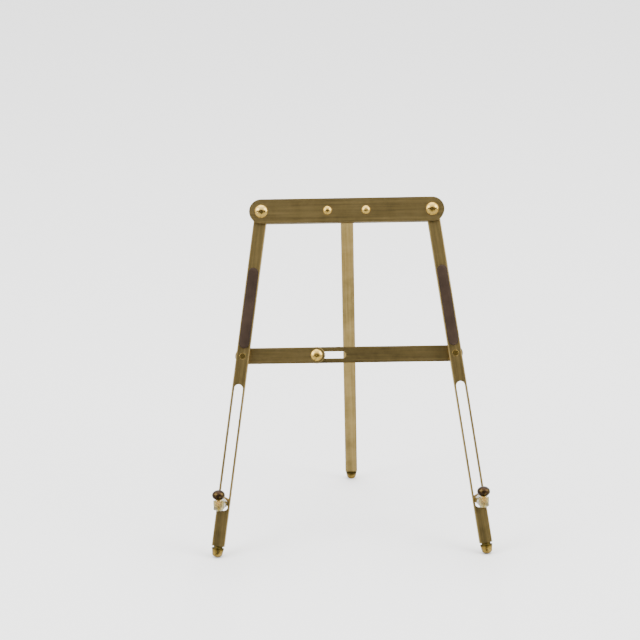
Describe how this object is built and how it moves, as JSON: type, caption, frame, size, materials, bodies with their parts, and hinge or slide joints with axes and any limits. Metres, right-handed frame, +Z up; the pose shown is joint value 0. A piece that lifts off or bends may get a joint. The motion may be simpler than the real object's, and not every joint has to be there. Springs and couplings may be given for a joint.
{
  "type": "plate display stand",
  "caption": "Folding brass display stand for a plate: splayed slotted front legs on turned feet, sleeved adjustable hooks, sliding braces and a hinged rear strut.",
  "frame": {"origin": "on the surface that the stand is on, under the middle of its bounding box", "axes": "+Z up, -Y towards the viewer and the plate, +X to the viewer's right"},
  "size_m": [0.1384, 0.1377, 0.1698],
  "materials": {
    "bar_brass": "drawn brass bar, lightly tarnished",
    "polished_brass": "turned and polished brass",
    "aged_brass": "darkened brass, worn smooth",
    "clear_vinyl": "clear flexible tube",
    "soft_rubber": "soft dark brown rubber"
  },
  "bodies": {
    "head": {"head_front_plate": "bar_brass", "head_rear_plate": "bar_brass", "head_rivets": "polished_brass", "leg_pivot_screws": "polished_brass", "leg_pivot_nuts": "polished_brass", "strut_bracket": "bar_brass", "strut_pin": "polished_brass", "strut_pin_nut": "polished_brass"},
    "strut": {"rear_strut": "bar_brass", "rear_foot": "polished_brass"},
    "brace_nut": {"brace_thumb_nut": "polished_brass"},
    "left_brace": {"left_brace": "bar_brass", "brace_stud": "polished_brass", "brace_washer": "polished_brass"},
    "right_brace": {"right_brace": "bar_brass"},
    "left_leg": {"left_leg": "bar_brass", "left_foot": "polished_brass", "left_rest_pad": "soft_rubber", "left_brace_rivet": "polished_brass"},
    "left_slider": {"left_hook_washer": "polished_brass"},
    "left_hook": {"left_hook_rod": "polished_brass", "left_hook_sleeve": "clear_vinyl", "left_hook_knob": "aged_brass"},
    "left_nut": {"left_hook_nut": "polished_brass"},
    "right_leg": {"right_leg": "bar_brass", "right_foot": "polished_brass", "right_rest_pad": "soft_rubber", "right_brace_rivet": "polished_brass"},
    "right_slider": {"right_hook_washer": "polished_brass"},
    "right_hook": {"right_hook_rod": "polished_brass", "right_hook_sleeve": "clear_vinyl", "right_hook_knob": "aged_brass"},
    "right_nut": {"right_hook_nut": "polished_brass"}
  },
  "joints": [
    {"name": "left_leg_spread", "type": "hinge", "parent": "head", "child": "left_leg", "pos_m": [-0.04222, 0.00391, 0.16285], "axis": [0, 0.9563, -0.2924], "range_deg": [-5, 5]},
    {"name": "right_leg_spread", "type": "hinge", "parent": "head", "child": "right_leg", "pos_m": [0.04222, 0.00391, 0.16285], "axis": [0, 0.9563, -0.2924], "range_deg": [-5, 5]},
    {"name": "left_brace_pivot", "type": "hinge", "parent": "left_leg", "child": "left_brace", "pos_m": [-0.05249, -0.01692, 0.0947], "axis": [0, 0.9563, -0.2924], "range_deg": [-5, 5]},
    {"name": "right_brace_pivot", "type": "hinge", "parent": "right_leg", "child": "right_brace", "pos_m": [0.05249, -0.01692, 0.0947], "axis": [0, 0.9563, -0.2924], "range_deg": [-5, 5]},
    {"name": "brace_nut_turn", "type": "hinge", "parent": "left_brace", "child": "brace_nut", "pos_m": [-0.016, -0.01692, 0.0947], "axis": [0, 0.9563, -0.2924], "continuous": true},
    {"name": "left_hook_slide", "type": "slide", "parent": "left_leg", "child": "left_slider", "axis": [0.1426, 0.2894, 0.9465], "range_m": [-0.002, 0.055]},
    {"name": "left_hook_turn", "type": "hinge", "parent": "left_slider", "child": "left_hook", "pos_m": [-0.06349, -0.03802, 0.02569], "axis": [0, 0.9563, -0.2924], "range_deg": [-90, 90]},
    {"name": "left_nut_turn", "type": "hinge", "parent": "left_hook", "child": "left_nut", "pos_m": [-0.06349, -0.03802, 0.02569], "axis": [0, 0.9563, -0.2924], "continuous": true},
    {"name": "right_hook_slide", "type": "slide", "parent": "right_leg", "child": "right_slider", "axis": [-0.1426, 0.2894, 0.9465], "range_m": [-0.002, 0.055]},
    {"name": "right_hook_turn", "type": "hinge", "parent": "right_slider", "child": "right_hook", "pos_m": [0.06349, -0.03802, 0.02569], "axis": [0, 0.9563, -0.2924], "range_deg": [-90, 90]},
    {"name": "right_nut_turn", "type": "hinge", "parent": "right_hook", "child": "right_nut", "pos_m": [0.06349, -0.03802, 0.02569], "axis": [0, 0.9563, -0.2924], "continuous": true},
    {"name": "strut_fold", "type": "hinge", "parent": "head", "child": "strut", "pos_m": [0, 0.01372, 0.15986], "axis": [1, 0, 0], "range_deg": [-35, 0]}
  ],
  "couplings": [
    {"joint": "right_leg_spread", "follows": "left_leg_spread", "ratio": -1},
    {"joint": "left_brace_pivot", "follows": "left_leg_spread", "ratio": -1},
    {"joint": "right_brace_pivot", "follows": "left_leg_spread", "ratio": 1}
  ]
}
